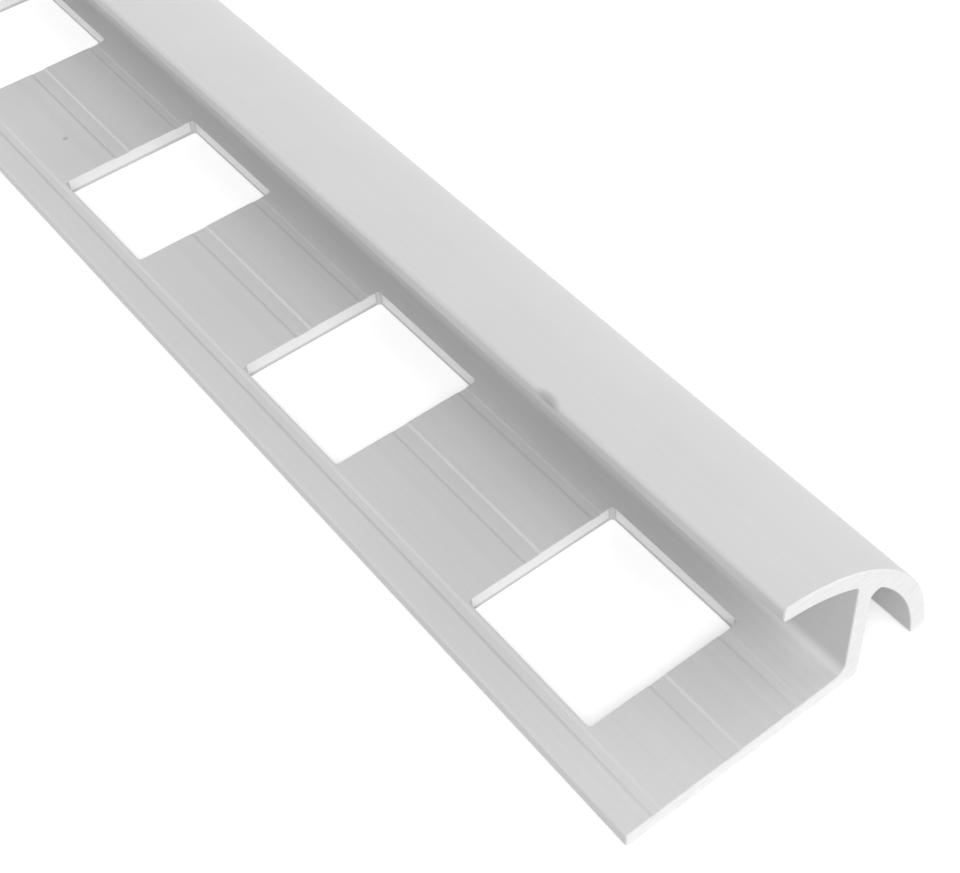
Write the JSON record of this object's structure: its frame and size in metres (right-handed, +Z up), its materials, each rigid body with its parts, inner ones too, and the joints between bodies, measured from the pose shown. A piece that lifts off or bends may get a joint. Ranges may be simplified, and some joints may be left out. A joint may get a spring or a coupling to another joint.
{
  "type": "tile edge trim",
  "caption": "Extruded quarter-round tile edge trim: a flat leg with square punched holes, an upright stem that stops the tile and an arched cap that finishes the edge.",
  "frame": {"origin": "middle of the bar on the floor, under the centre of its bounding box", "axes": "+Y along the bar away from the pictured end, +X across from the free edge of the leg to the cap, +Z up off the leg's underside"},
  "size_m": [0.0228, 1, 0.0124],
  "materials": {
    "satin_aluminium": "satin, silver anodised, with bright saw-cut ends and punched walls"
  },
  "bodies": {
    "root": {"edge_trim": "satin_aluminium"}
  },
  "joints": []
}
